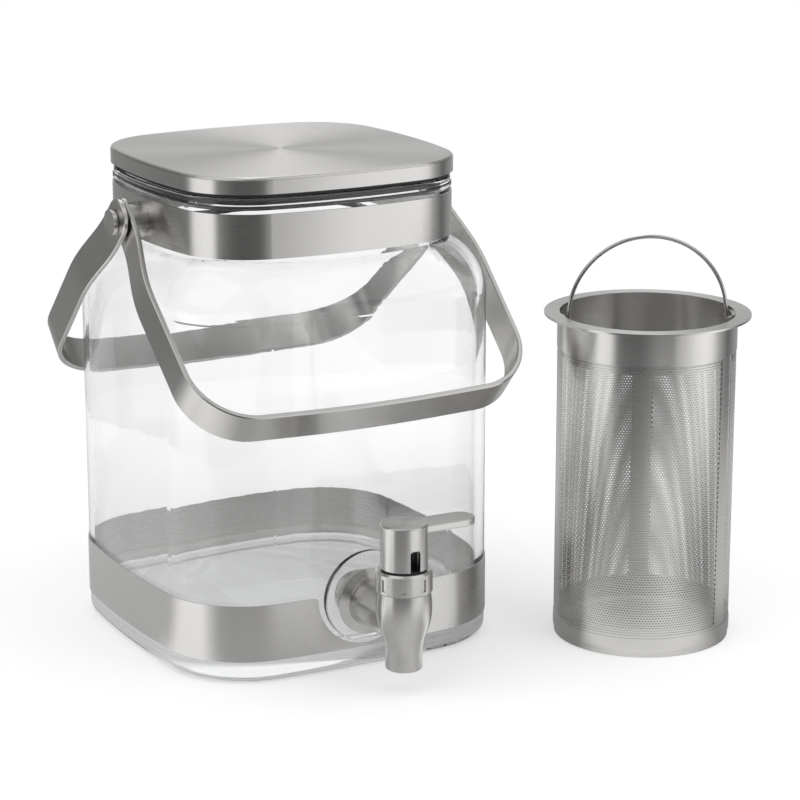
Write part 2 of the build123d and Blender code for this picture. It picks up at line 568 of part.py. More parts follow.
def tang_pocket():
    """Room in the cap for the tang over the whole travel, as seen from the rocking cap."""
    half = (PIN_SHIFT + CROSS_PIN_DIAMETER) / 2 + CROSS_PIN_PLAY + TANG_WALL
    top = PIN_Z + CROSS_PIN_DIAMETER / 2 + CROSS_PIN_PLAY + TANG_WALL
    sweep = (top + VALVE_LIFT - CAP_LOW) * math.sin(PRESS) + ROCK_X * (1 - math.cos(PRESS))
    low_x = PIN_SHIFT / 2 - half - sweep - REST_GAP
    high_x = PIN_SHIFT / 2 + half + REST_GAP
    high = top + VALVE_LIFT / 2 + REST_GAP
    size = (high_x - low_x, TANG_THICK + 2 * REST_GAP, high - CAP_LOW)
    return Pos((low_x + high_x) / 2, 0, (high + CAP_LOW) / 2) * Box(*size)


def lever_pin():
    """Cross pin, driven in blind from behind; it lifts the stem."""
    start = (0, TAP_Y + CROSS_PIN_LENGTH / 2, PIN_Z)
    return rod(CROSS_PIN_DIAMETER / 2, start, CROSS_PIN_LENGTH, (0, -1, 0))


# ---------------------------------------------------------------- filter
def filter_rim():
    """Turned rim: flat flange, plain collar and a sleeve that laps inside the tube."""
    opening, collar, flange = RIM_OPENING / 2, FILTER_DIAMETER / 2, RIM_DIAMETER / 2
    under = FILTER_TOP - RIM_SHEET
    points = [(opening, COLLAR_LOW - COLLAR_OVERLAP), (SLEEVE_RADIUS, COLLAR_LOW - COLLAR_OVERLAP)]
    points += [(SLEEVE_RADIUS, COLLAR_LOW), (collar, COLLAR_LOW), (collar, under), (flange, under)]
    points += [(flange, FILTER_TOP), (opening, FILTER_TOP)]
    return FILTER_PLACE * lathe(points)


def grid_turns():
    """Direction and angular pitch of each column of openings, field by field."""
    outer = FILTER_DIAMETER / 2
    strips = sorted(STRIP_ANGLES)
    turns = []
    for strip, following in zip(strips, [*strips[1:], strips[0] + 360]):
        span = following - strip - math.degrees(STRIP_WIDTH / outer)
        columns = round(math.radians(span) * outer / GRID_PITCH)
        first = strip + (following - strip - span + span / columns) / 2
        turns += [(first + span / columns * column, span / columns) for column in range(columns)]
    return turns


def filter_tube():
    """Rolled sheet tube with a grid of openings in the fields between its plain strips."""
    outer = FILTER_DIAMETER / 2
    low, high = BASE_CUP_HEIGHT + COLLAR_OVERLAP, COLLAR_LOW - COLLAR_OVERLAP
    tall = (high - low - (GRID_ROWS + 1) * GRID_BAR) / GRID_ROWS
    openings = []
    for turn, pitch in grid_turns():
        across = 2 * outer * math.sin(math.radians(pitch) / 2) - GRID_BAR
        for row in range(GRID_ROWS):
            middle = low + GRID_BAR + tall / 2 + row * (tall + GRID_BAR)
            openings.append(Rot(0, 0, turn) * Pos(outer, 0, middle) * Box(outer / 4, across, tall))
    tube = ring(outer, outer - FILTER_SHEET, BASE_CUP_HEIGHT, COLLAR_LOW)
    return FILTER_PLACE * (tube - openings)


def filter_base():
    """Drawn cup that closes the tube, with a round lower edge and a lap inside the tube."""
    outer, lap = FILTER_DIAMETER / 2, SLEEVE_RADIUS
    cup = extrude(Circle(outer), BASE_CUP_HEIGHT)
    cup = fillet(edges_at(cup, 0), BASE_EDGE)
    cup += extrude(Circle(lap), BASE_CUP_HEIGHT + COLLAR_OVERLAP)
    inside = Pos(0, 0, BASE_SHEET) * extrude(Circle(RIM_OPENING / 2), 2 * BASE_CUP_HEIGHT)
    inside = fillet(edges_at(inside, BASE_SHEET), BASE_EDGE - BASE_SHEET)
    return FILTER_PLACE * (cup - inside)


def bail_lug(side):
    """Small block on the collar's inner wall that holds one foot of the bail."""
    face = BAIL_SPAN / 2 + FOOT_BEND + SIDE_GAP
    length = RIM_OPENING / 2 - face
    lug = Pos(face + length, 0, BAIL_Z) * Box(2 * length, LUG_WIDTH, LUG_HEIGHT)
    lug = chamfer(lug.edges().filter_by(Axis.X), LUG_EDGE)
    lug &= Pos(0, 0, BAIL_Z - LUG_HEIGHT) * extrude(Circle(RIM_OPENING / 2), 2 * LUG_HEIGHT)
    lug -= rod(BAIL_WIRE / 2 + FOOT_PLAY, (0, 0, BAIL_Z), RIM_OPENING, (1, 0, 0))
    turn = BAIL_ANGLE if side > 0 else BAIL_ANGLE + 180
    return FILTER_PLACE * Rot(0, 0, turn) * lug


def filter_bail():
    """Wire bail: a round arch on two legs, with feet turned out into the lugs."""
    span, foot = BAIL_SPAN / 2, RIM_OPENING / 2 - FOOT_SHORT
    spring = BAIL_TOP - BAIL_WIRE / 2 - span
    bend = FOOT_BEND
    low = BAIL_Z + bend
    out = span + bend
    corner = bend * math.sqrt(0.5)
    path = [Line((-foot, 0, BAIL_Z), (-out, 0, BAIL_Z))]
    path.append(ThreePointArc((-out, 0, BAIL_Z), (corner - out, 0, low - corner), (-span, 0, low)))
    path.append(Line((-span, 0, low), (-span, 0, spring)))
    path.append(ThreePointArc((-span, 0, spring), (0, 0, spring + span), (span, 0, spring)))
    path.append(Line((span, 0, spring), (span, 0, low)))
    path.append(ThreePointArc((span, 0, low), (out - corner, 0, low - corner), (out, 0, BAIL_Z)))
    path.append(Line((out, 0, BAIL_Z), (foot, 0, BAIL_Z)))
    start = Plane(origin=(-foot, 0, BAIL_Z), z_dir=(1, 0, 0))
    wire = sweep(start * Circle(BAIL_WIRE / 2), path=Wire(path))
    return FILTER_PLACE * Rot(0, 0, BAIL_ANGLE) * wire


# ---------------------------------------------------------------- assembly
def build():
    """All pieces by node name."""
    outer_inside = CROSS_INSIDE + STRAP_PITCH
    pieces = {
        "glass_jar": glass_jar(),
        "base_band": base_band(),
        "neck_band": neck_band(),
        "lid_cover": lid_cover(),
        "lid_plug": lid_plug(),
        "lid_gasket": lid_gasket(),
        "front_handle": seated(handle(0), CROSS_INSIDE, 1),
        "rear_handle": seated(handle(STRAP_PITCH), outer_inside, -1),
        "spigot_body": spigot_body(),
        "spigot_outer_gasket": spigot_outer_gasket(),
        "spigot_inner_gasket": spigot_inner_gasket(),
        "spigot_lock_nut": spigot_lock_nut(),
        "spigot_bonnet": spigot_bonnet(),
        "valve_stem": valve_stem(),
        "valve_seat_plug": valve_seat_plug(),
        "lever_glide_washer": lever_glide_washer(),
        "tap_lever": tap_lever(),
        "lever_pin": lever_pin(),
        "filter_rim": filter_rim(),
        "filter_tube": filter_tube(),
        "filter_base": filter_base(),
        "filter_bail": filter_bail(),
    }
    for name, side in (("left", -1), ("right", 1)):
        pieces["pivot_boss_" + name] = pivot_boss(side)
        pieces["pivot_pin_" + name] = pivot_pin(side)
        pieces["pivot_spacer_" + name] = pivot_spacer(side)
        pieces["bail_lug_" + name] = bail_lug(side)
    return pieces


os.makedirs("parts", exist_ok=True)
for node, piece in build().items():
    export_step(piece, "parts/" + node + ".step")
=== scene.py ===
"""Dressed model of a cold brew coffee maker.

A bowed-square glass jar with steel bands, a lift-off lid, two strap handles and a lever tap, and
beside it a perforated basket filter with a wire bail. Metres, +Z up, the tap faces -Y.
"""
import logging
import math
from dataclasses import dataclass
from enum import Enum

import bpy
from mathutils import Matrix, Vector


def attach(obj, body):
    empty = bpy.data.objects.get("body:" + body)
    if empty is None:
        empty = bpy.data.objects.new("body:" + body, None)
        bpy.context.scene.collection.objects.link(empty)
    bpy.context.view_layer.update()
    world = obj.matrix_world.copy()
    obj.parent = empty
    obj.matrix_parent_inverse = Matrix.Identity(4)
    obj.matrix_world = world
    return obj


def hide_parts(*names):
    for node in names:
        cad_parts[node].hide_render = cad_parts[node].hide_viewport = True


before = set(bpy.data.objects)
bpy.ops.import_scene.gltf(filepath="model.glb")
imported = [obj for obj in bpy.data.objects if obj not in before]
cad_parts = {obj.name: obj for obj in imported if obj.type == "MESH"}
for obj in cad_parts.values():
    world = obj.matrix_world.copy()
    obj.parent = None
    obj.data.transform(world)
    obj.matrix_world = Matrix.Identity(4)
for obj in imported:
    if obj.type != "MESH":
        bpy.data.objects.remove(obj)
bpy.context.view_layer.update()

log = logging.getLogger("coffee_maker")

Triple = tuple[float, float, float]
Bands = tuple[tuple[float, float], ...]
MM = 0.001
SNAPS_PER_METRE = 1e7               # points that round to the same place are one
TAP_CENTRE = (0.0, -0.115, 0.0)     # upright axis of the tap
FILTER_CENTRE = (0.1357, -0.096, 0.0)


# ------------------------------------------------------------------ node materials
class Wiring:
    """Helpers that add and join the nodes of one tree."""

    def __init__(self, tree: bpy.types.NodeTree, output: str) -> None:
        """Start with nothing but the output.

        Args:
            tree: Tree that gets the nodes.
            output: Blender's type name of the output node.
        """
        self.tree = tree
        self.tree.nodes.clear()
        self.output = self.add(output)

    def add(self, kind: str, inputs: dict | None = None, **settings: object) -> bpy.types.Node:
        """Add a node.

        Args:
            kind: Blender's type name of the node.
            inputs: Socket values by socket name or number.
            **settings: Properties of the node.

        Returns:
            The new node.
        """
        node = self.tree.nodes.new(kind)
        for key, value in settings.items():
            setattr(node, key, value)
        for key, value in (inputs or {}).items():
            node.inputs[key].default_value = value
        return node

    def link(self, source: bpy.types.NodeSocket, target: bpy.types.NodeSocket) -> None:
        """Join an output socket to an input socket."""
        self.tree.links.new(source, target)

    def maths(self, operation: str, *values: object) -> bpy.types.NodeSocket:
        """Add a scalar maths node.

        Args:
            operation: Blender's name of the operation.
            *values: Numbers or output sockets, in order.

        Returns:
            The node's output socket.
        """
        node = self.add("ShaderNodeMath", operation=operation)
        for socket, value in zip(node.inputs, values):
            if isinstance(value, bpy.types.NodeSocket):
                self.link(value, socket)
            else:
                socket.default_value = value
        return node.outputs[0]

    def object_point(self, centre: Triple = (0, 0, 0)) -> bpy.types.NodeSocket:
        """Give the point of the surface at rest, measured from a centre.

        Args:
            centre: Point that becomes the origin.

        Returns:
            Socket of the vector in metres.
        """
        coords = self.add("ShaderNodeTexCoord")
        shift = self.add("ShaderNodeVectorMath", operation="SUBTRACT")
        self.link(coords.outputs["Object"], shift.inputs[0])
        shift.inputs[1].default_value = centre
        return shift.outputs[0]

    def noise(self, vector: bpy.types.NodeSocket, scale: Triple, detail: float = 2.0,
              rough: float = 0.5) -> bpy.types.NodeSocket:
        """Add noise with its own scale along each axis.

        Args:
            vector: Point at which the noise is read.
            scale: Features per metre along X, Y and Z.
            detail: Octaves of the noise.
            rough: Weight of the finer octaves.

        Returns:
            Socket of the value from 0 to 1.
        """
        mapping = self.add("ShaderNodeMapping", inputs={"Scale": scale})
        self.link(vector, mapping.inputs["Vector"])
        texture = self.add("ShaderNodeTexNoise", inputs={"Scale": 1.0, "Detail": detail, "Roughness": rough})
        self.link(mapping.outputs[0], texture.inputs["Vector"])
        return texture.outputs["Fac"]

    def spread(self, value: bpy.types.NodeSocket, low: float, high: float,
               start: float = 0.25, end: float = 0.75) -> bpy.types.NodeSocket:
        """Map a value from one range to another.

        Args:
            value: Socket to map.
            low: Result at start.
            high: Result at end.
            start: Lower end of the value's range.
            end: Upper end of the value's range.

        Returns:
            Socket of the mapped value.
        """
        node = self.add("ShaderNodeMapRange")
        self.link(value, node.inputs["Value"])
        for name, number in (("From Min", start), ("From Max", end), ("To Min", low), ("To Max", high)):
            node.inputs[name].default_value = number
        return node.outputs["Result"]

    def tone(self, value: bpy.types.NodeSocket, dark: Triple, light: Triple) -> bpy.types.NodeSocket:
        """Turn a value from 0 to 1 into a colour between two.

        Args:
            value: Socket from 0 to 1.
            dark: Colour at 0.
            light: Colour at 1.

        Returns:
            Socket of the colour.
        """
        ramp = self.add("ShaderNodeValToRGB")
        ramp.color_ramp.elements[0].color = (*dark, 1)
        ramp.color_ramp.elements[1].color = (*light, 1)
        self.link(value, ramp.inputs["Fac"])
        return ramp.outputs["Color"]

    def bump(self, height: bpy.types.NodeSocket, distance: float, strength: float = 1.0,
             normal: bpy.types.NodeSocket | None = None) -> bpy.types.NodeSocket:
        """Add a bump map.

        Args:
            height: Socket of the height from 0 to 1.
            distance: Height in metres that 1 stands for.
            strength: Weight of the bump.
            normal: Normal of an earlier bump, if any.

        Returns:
            Socket of the normal.
        """
        node = self.add("ShaderNodeBump", inputs={"Strength": strength, "Distance": distance})
        self.link(height, node.inputs["Height"])
        if normal is not None:
            self.link(normal, node.inputs["Normal"])
        return node.outputs["Normal"]

    def cross(self, first: object, second: bpy.types.NodeSocket) -> bpy.types.NodeSocket:
        """Give the cross product of two vectors.

        Args:
            first: Vector or socket.
            second: Socket.

        Returns:
            Socket of the product.
        """
        node = self.add("ShaderNodeVectorMath", operation="CROSS_PRODUCT")
        if isinstance(first, bpy.types.NodeSocket):
            self.link(first, node.inputs[0])
        else:
            node.inputs[0].default_value = first
        self.link(second, node.inputs[1])
        return node.outputs[0]

    def to_world(self, direction: object) -> bpy.types.NodeSocket:
        """Turn a direction of the piece at rest into one of the world.

        Args:
            direction: Vector or socket.

        Returns:
            Socket of the turned direction.
        """
        node = self.add("ShaderNodeVectorTransform", vector_type="VECTOR", convert_from="OBJECT",
                        convert_to="WORLD")
        if isinstance(direction, bpy.types.NodeSocket):
            self.link(direction, node.inputs[0])
        else:
            node.inputs[0].default_value = direction
        return node.outputs[0]

    def bands(self, x: bpy.types.NodeSocket, y: bpy.types.NodeSocket,
              stops: Bands) -> bpy.types.NodeSocket:
        """Give a grey level by direction round the vertical.

        Args:
            x: Socket of the direction's X.
            y: Socket of its Y.
            stops: Direction in degrees from +X towards +Y, and level, in rising order.

        Returns:
            Socket of the level.
        """
        turn = self.spread(self.maths("ARCTAN2", y, x), 0.0, 1.0, -math.pi, math.pi)
        ramp = self.add("ShaderNodeValToRGB")
        while len(ramp.color_ramp.elements) < len(stops):
            ramp.color_ramp.elements.new(0.5)
        for element, (place, level) in zip(ramp.color_ramp.elements, stops):
            element.position = (place + 180) / 360
            element.color = (level, level, level, 1)
        self.link(turn, ramp.inputs["Fac"])
        return ramp.outputs["Color"]

    def ray(self, kind: str) -> bpy.types.NodeSocket:
        """Give 1 for rays of a kind, such as Camera or Glossy, and 0 for others."""
        return self.add("ShaderNodeLightPath").outputs[f"Is {kind} Ray"]

    def blend(self, factor: bpy.types.NodeSocket, first: object, second: object) -> bpy.types.NodeSocket:
        """Mix two colours or grey levels.

        Args:
            factor: Socket, 0 for the first and 1 for the second.
            first: Grey level or socket.
            second: Grey level or socket.

        Returns:
            Socket of the colour.
        """
        node = self.add("ShaderNodeMix", data_type="RGBA")
        self.link(factor, node.inputs["Factor"])
        for name, value in (("A", first), ("B", second)):
            if isinstance(value, bpy.types.NodeSocket):
                self.link(value, node.inputs[name])
            else:
                node.inputs[name].default_value = (value, value, value, 1)
        return node.outputs["Result"]


class Recipe(Wiring):
    """A node material under construction."""

    def __init__(self, name: str) -> None:
        """Start an empty material.

        Args:
            name: Name of the new material.
        """
        self.material = bpy.data.materials.new(name)
        self.material.use_nodes = True
        super().__init__(self.material.node_tree, "ShaderNodeOutputMaterial")

    def finish(self, shader: bpy.types.NodeSocket) -> bpy.types.Material:
        """Connect the shader to the output and give the material."""
        self.link(shader, self.output.inputs["Surface"])
        return self.material


def scaled(colour: Triple, factor: float) -> Triple:
    """Scale a colour."""
    return tuple(channel * factor for channel in colour)


class Grain(Enum):
    """Direction in which a steel surface is brushed or turned."""

    AROUND = "lines round the vertical axis"
    SPUN = "circles about a vertical axis"
    TURNED = "circles about an axis along X"
    STRAP = "lines along a bent strap"
    CAST = "turned in front about the upright axis, and behind about the shank"
    SATIN = "blasted, with no direction"


@dataclass(frozen=True)
class Steel:
    """Stainless steel with a brushed, spun, turned or blasted surface."""

    name: str
    grain: Grain
    tint: Triple = (0.69, 0.68, 0.665)
    roughness: float = 0.30
    anisotropy: float = 0.85
    centre: Triple = (0, 0, 0)
    across: Triple = (0, 0, 1)
    shank_end: float = -102.5 * MM      # Y where a casting's shank meets its upright part
    shank_height: float = 32.0 * MM
    streak: float = 0.2 * MM            # width of a line
    stretch: float = 90.0               # length of a line, in widths
    arcs: float = 2.5                   # lines round a turned piece, per radian
    line_noise: tuple[float, float] = (4.0, 0.7)    # octaves, and weight of the finer ones
    blast_noise: tuple[float, float] = (3.0, 0.6)
    depth: float = 0.0006 * MM
    clouds: Triple = (23.0, 23.0, 23.0)
    cloud_share: float = 0.35
    shades: tuple[float, float] = (0.95, 1.04)
    uneven: float = 0.02                # of the roughness, either way

    def material(self) -> bpy.types.Material:
        """Build the node material.

        Returns:
            The new material.
        """
        recipe = Recipe(self.name)
        point = recipe.object_point(self.centre)
        shader = recipe.add("ShaderNodeBsdfPrincipled", inputs={
            "Metallic": 1.0, "Anisotropic": 0.0 if self.grain is Grain.SATIN else self.anisotropy,
            "Anisotropic Rotation": 0.25})
        streaks, clouds = self._streaks(recipe, point), recipe.noise(point, self.clouds, 2.0)
        colour = recipe.maths("ADD", recipe.maths("MULTIPLY", streaks, 1 - self.cloud_share),
                              recipe.maths("MULTIPLY", clouds, self.cloud_share))
        dark, light = (scaled(self.tint, shade) for shade in self.shades)
        base = recipe.tone(recipe.spread(colour, 0.0, 1.0, 0.3, 0.7), dark, light)
        recipe.link(base, shader.inputs["Base Color"])
        rough = recipe.spread(streaks, self.roughness - self.uneven, self.roughness + self.uneven)
        recipe.link(rough, shader.inputs["Roughness"])
        recipe.link(recipe.bump(streaks, self.depth), shader.inputs["Normal"])
        if self.grain is not Grain.SATIN:
            recipe.link(self._tangent(recipe, point), shader.inputs["Tangent"])
        return recipe.finish(shader.outputs["BSDF"])

    def _streaks(self, recipe: Recipe, point: bpy.types.NodeSocket) -> bpy.types.NodeSocket:
        """Build the pattern of fine lines.

        Args:
            recipe: Material under construction.
            point: Point of the surface from the finish's centre.

        Returns:
            Socket of the value from 0 to 1.
        """
        fine, long = 1 / self.streak, 1 / (self.stretch * self.streak)
        if self.grain in (Grain.SATIN, Grain.CAST):
            return recipe.noise(point, (fine, fine, fine), *self.blast_noise)
        if self.grain is Grain.AROUND:
            return recipe.noise(point, (long, long, fine), *self.line_noise)
        split = recipe.add("ShaderNodeSeparateXYZ")
        recipe.link(point, split.inputs[0])
        x, y, z = split.outputs
        join = recipe.add("ShaderNodeCombineXYZ")
        if self.grain is Grain.STRAP:
            side = recipe.add("ShaderNodeVectorMath", operation="DOT_PRODUCT")
            recipe.link(point, side.inputs[0])
            side.inputs[1].default_value = self.across
            recipe.link(side.outputs["Value"], join.inputs[2])
            recipe.link(x, join.inputs[0])
            recipe.link(z, join.inputs[1])
            return recipe.noise(join.outputs[0], (long, long, fine), *self.line_noise)
        first, second, axial = (x, y, z) if self.grain is Grain.SPUN else (y, z, x)
        radius = recipe.maths("SQRT", recipe.maths("ADD", recipe.maths("MULTIPLY", first, first),
                                                   recipe.maths("MULTIPLY", second, second)))
        recipe.link(recipe.maths("ADD", radius, axial), join.inputs[2])
        recipe.link(recipe.maths("ARCTAN2", second, first), join.inputs[0])
        return recipe.noise(join.outputs[0], (self.arcs, 0, fine), *self.line_noise)

    def _tangent(self, recipe: Recipe, point: bpy.types.NodeSocket) -> bpy.types.NodeSocket:
        """Give the direction of the lines, across which the highlight is stretched.

        Args:
            recipe: Material under construction.
            point: Point of the surface from the finish's centre.

        Returns:
            Socket of the direction in the world.
        """
        if self.grain is Grain.STRAP:
            geometry = recipe.add("ShaderNodeNewGeometry")
            return recipe.cross(recipe.to_world(self.across), geometry.outputs["Normal"])
        lines = recipe.cross((1, 0, 0) if self.grain is Grain.TURNED else (0, 0, 1), point)
        if self.grain is Grain.CAST:
            behind = recipe.cross((0, 1, 0), recipe.object_point((0, 0, self.shank_height)))
            split = recipe.add("ShaderNodeSeparateXYZ")
            recipe.link(recipe.object_point(), split.inputs[0])
            front = recipe.maths("LESS_THAN", split.outputs[1], self.shank_end)
            choice = recipe.add("ShaderNodeMix", data_type="VECTOR")
            recipe.link(front, choice.inputs[0])
            recipe.link(behind, choice.inputs[4])
            recipe.link(lines, choice.inputs[5])
            lines = choice.outputs[1]
        return recipe.to_world(lines)


@dataclass(frozen=True)
class ClearGlass:
    """Thick pressed glass, clear with slow waves in its surface, with painted shade greying its heel."""

    name: str = "clear_glass"
    tint: Triple = (0.995, 0.997, 0.996)
    # painted shade: the glass's base colour is this grey at the bottom, standing in for the dark heel
    heel_shade_tint: Triple = (0.7, 0.71, 0.71)
    heel: tuple[float, float] = (6 * MM, 16 * MM)   # heights between which the painted heel shade thins out
    ior: float = 1.5
    wave: float = 34 * MM
    wave_height: float = 2.2            # of a wave, in widths
    wave_depth: float = 0.35 * MM
    ripples: Triple = (4.0, 4.0, 3.0)   # ripples in a wave's width
    ripple_share: float = 1 / 16        # of the wave's depth
    shadow: Triple = (0.9, 0.91, 0.905)

    def material(self) -> bpy.types.Material:
        """Build the node material.

        Returns:
            The new material.
        """
        recipe = Recipe(self.name)
        point = recipe.object_point()
        per_metre = 1 / self.wave
        slow = recipe.noise(point, (per_metre, per_metre, per_metre / self.wave_height), 1.0)
        fine = recipe.noise(point, scaled(self.ripples, per_metre), 2.0)
        normal = recipe.bump(slow, self.wave_depth)
        normal = recipe.bump(fine, self.wave_depth * self.ripple_share, 1.0, normal)
        glass = recipe.add("ShaderNodeBsdfPrincipled", inputs={
            "Roughness": 0.0, "IOR": self.ior, "Transmission Weight": 1.0})
        height = recipe.add("ShaderNodeSeparateXYZ")
        recipe.link(point, height.inputs[0])
        # painted shade at the heel: the base colour turns grey towards the bottom
        heel_shade_fade = recipe.spread(height.outputs[2], 0.0, 1.0, *self.heel)
        recipe.link(recipe.tone(heel_shade_fade, self.heel_shade_tint, self.tint), glass.inputs["Base Color"])
        recipe.link(normal, glass.inputs["Normal"])
        clear = recipe.add("ShaderNodeBsdfTransparent", inputs={"Color": (*self.shadow, 1)})
        mix = recipe.add("ShaderNodeMixShader")
        recipe.link(recipe.ray("Shadow"), mix.inputs[0])
        recipe.link(glass.outputs[0], mix.inputs[1])
        recipe.link(clear.outputs[0], mix.inputs[2])
        return recipe.finish(mix.outputs[0])


@dataclass(frozen=True)
class SoftSolid:
    """Silicone, rubber or moulded plastic with a fine surface texture."""

    name: str
    colour: Triple
    roughness: float = 0.5
    texture: float = 0.5 * MM
    depth: float = 0.01 * MM
    clouds: Triple = (60.0, 60.0, 60.0)
    shades: tuple[float, float] = (0.88, 1.12)
    lift: float = 0.004                 # added to the lighter shade
    uneven: float = 0.06                # of the roughness, either way
    specular: float = 0.45

    def material(self) -> bpy.types.Material:
        """Build the node material.

        Returns:
            The new material.
        """
        recipe = Recipe(self.name)
        point = recipe.object_point()
        fine = 1 / self.texture
        texture = recipe.noise(point, (fine, fine, fine), 3.0)
        clouds = recipe.noise(point, self.clouds, 2.0)
        shader = recipe.add("ShaderNodeBsdfPrincipled", inputs={"Specular IOR Level": self.specular})
        dark = scaled(self.colour, self.shades[0])
        light = tuple(min(1.0, channel * self.shades[1] + self.lift) for channel in self.colour)
        recipe.link(recipe.tone(clouds, dark, light), shader.inputs["Base Color"])
        rough = recipe.spread(texture, self.roughness - self.uneven, self.roughness + self.uneven)
        recipe.link(rough, shader.inputs["Roughness"])
        recipe.link(recipe.bump(texture, self.depth), shader.inputs["Normal"])
        return recipe.finish(shader.outputs["BSDF"])


# ------------------------------------------------------------------ meshes
class MeshDraft:
    """Vertices and faces that are joined where they meet."""

    def __init__(self) -> None:
        """Start with nothing."""
        self.points: list[Triple] = []
        self.faces: list[tuple[int, ...]] = []
        self._seen: dict[tuple[int, int, int], int] = {}

    def vertex(self, point: Triple) -> int:
        """Give the number of the vertex at a point.

        Args:
            point: Place in metres.

        Returns:
            Number of the new or earlier vertex there.
        """
        key = tuple(round(value * SNAPS_PER_METRE) for value in point)
        if key not in self._seen:
            self._seen[key] = len(self.points)
            self.points.append(tuple(point))
        return self._seen[key]

    def face(self, *points: Triple) -> None:
        """Add a face, without corners that fall together."""
        corners = list(dict.fromkeys(self.vertex(point) for point in points))
        if len(corners) > 2:
            self.faces.append(tuple(corners))

    def piece(self, name: str, material: bpy.types.Material, body: str) -> bpy.types.Object:
        """Make the object and let it ride.

        Args:
            name: Name of the piece.
            material: Its finish.
            body: Body that carries it.

        Returns:
            The new object.
        """
        mesh = bpy.data.meshes.new(name)
        mesh.from_pydata(self.points, [], self.faces)
        mesh.validate()
        mesh.materials.append(material)
        mesh.polygons.foreach_set("use_smooth", [True] * len(mesh.polygons))
        made = bpy.data.objects.new(name, mesh)
        bpy.context.scene.collection.objects.link(made)
        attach(made, body)
        log.info("built %s: %d faces", name, len(mesh.polygons))
        return made


def dress(material: bpy.types.Material, *nodes: str) -> None:
    """Give CAD nodes a material.

    Args:
        material: The finish.
        *nodes: Names of the nodes.
    """
    for name in nodes:
        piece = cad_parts[name]
        if not piece.material_slots:
            piece.data.materials.append(None)
        for slot in piece.material_slots:
            slot.link = "OBJECT"
            slot.material = material
        log.info("dressed %s with %s", name, material.name)


# ------------------------------------------------------------------ jar
@dataclass
class Jar:
    """Glass jar with its two steel bands and the handles' pivots."""

    glass: ClearGlass = ClearGlass()
    band: Steel = Steel("band_steel", Grain.AROUND, roughness=0.28)
    pivot: Steel = Steel("pivot_steel", Grain.TURNED, centre=(0, 0, 0.1954), roughness=0.25)
    washer: SoftSolid = SoftSolid("glide_plastic", (0.02, 0.02, 0.02), roughness=0.42)

    def build(self) -> None:
        """Dress the jar's nodes."""
        dress(self.glass.material(), "glass_jar")
        dress(self.band.material(), "base_band", "neck_band")
        dress(self.pivot.material(), "pivot_boss_left", "pivot_boss_right",
              "pivot_pin_left", "pivot_pin_right")
        dress(self.washer.material(), "pivot_spacer_left", "pivot_spacer_right")


@dataclass
class Lid:
    """Lid with a spun steel cover, a moulded inner plug and a black seal."""

    cover: Steel = Steel("lid_steel", Grain.SPUN, roughness=0.28, anisotropy=0.9)
    plug: SoftSolid = SoftSolid("liner_plastic", (0.03, 0.03, 0.03), roughness=0.38)
    seal: SoftSolid = SoftSolid("seal_silicone", (0.022, 0.022, 0.022), roughness=0.5)

    def build(self) -> None:
        """Dress the lid's nodes."""
        dress(self.cover.material(), "lid_cover")
        dress(self.plug.material(), "lid_plug")
        dress(self.seal.material(), "lid_gasket")


@dataclass
class StrapHandles:
    """Two bent straps, brushed along their length."""

    tint: Triple = (0.62, 0.61, 0.595)
    roughness: float = 0.24
    front_hang: float = math.radians(48.4)      # lean of each strap at rest
    rear_hang: float = math.radians(46.9)

    def build(self) -> None:
        """Dress both handles, each with lines along its own strap."""
        for node, hang, side in (("front_handle", self.front_hang, -1), ("rear_handle", self.rear_hang, 1)):
            across = (0.0, side * math.cos(hang), math.sin(hang))
            steel = Steel("brushed_" + node, Grain.STRAP, self.tint, self.roughness, across=across)
            dress(steel.material(), node)


@dataclass
class LeverTap:
    """Lever tap: cast body, bonnet and lever, with its seals and valve."""

    casting: Steel = Steel("tap_steel", Grain.CAST, centre=TAP_CENTRE, roughness=0.26, streak=0.6 * MM,
                           depth=0.0008 * MM)
    spun: Steel = Steel("tap_spun_steel", Grain.SPUN, centre=TAP_CENTRE, roughness=0.25, depth=0.0003 * MM)
    seal: SoftSolid = SoftSolid("gasket_silicone", (0.75, 0.75, 0.73), roughness=0.45)
    cup: SoftSolid = SoftSolid("seat_silicone", (0.8, 0.8, 0.78), roughness=0.4)
    glide: SoftSolid = SoftSolid("tap_glide", (0.015, 0.015, 0.015), roughness=0.4)

    def build(self) -> None:
        """Dress the tap's nodes."""
        dress(self.casting.material(), "spigot_body", "spigot_lock_nut")
        dress(self.spun.material(), "spigot_bonnet", "tap_lever", "valve_stem", "lever_pin")
        dress(self.seal.material(), "spigot_outer_gasket", "spigot_inner_gasket")
        dress(self.cup.material(), "valve_seat_plug")
        dress(self.glide.material(), "lever_glide_washer")


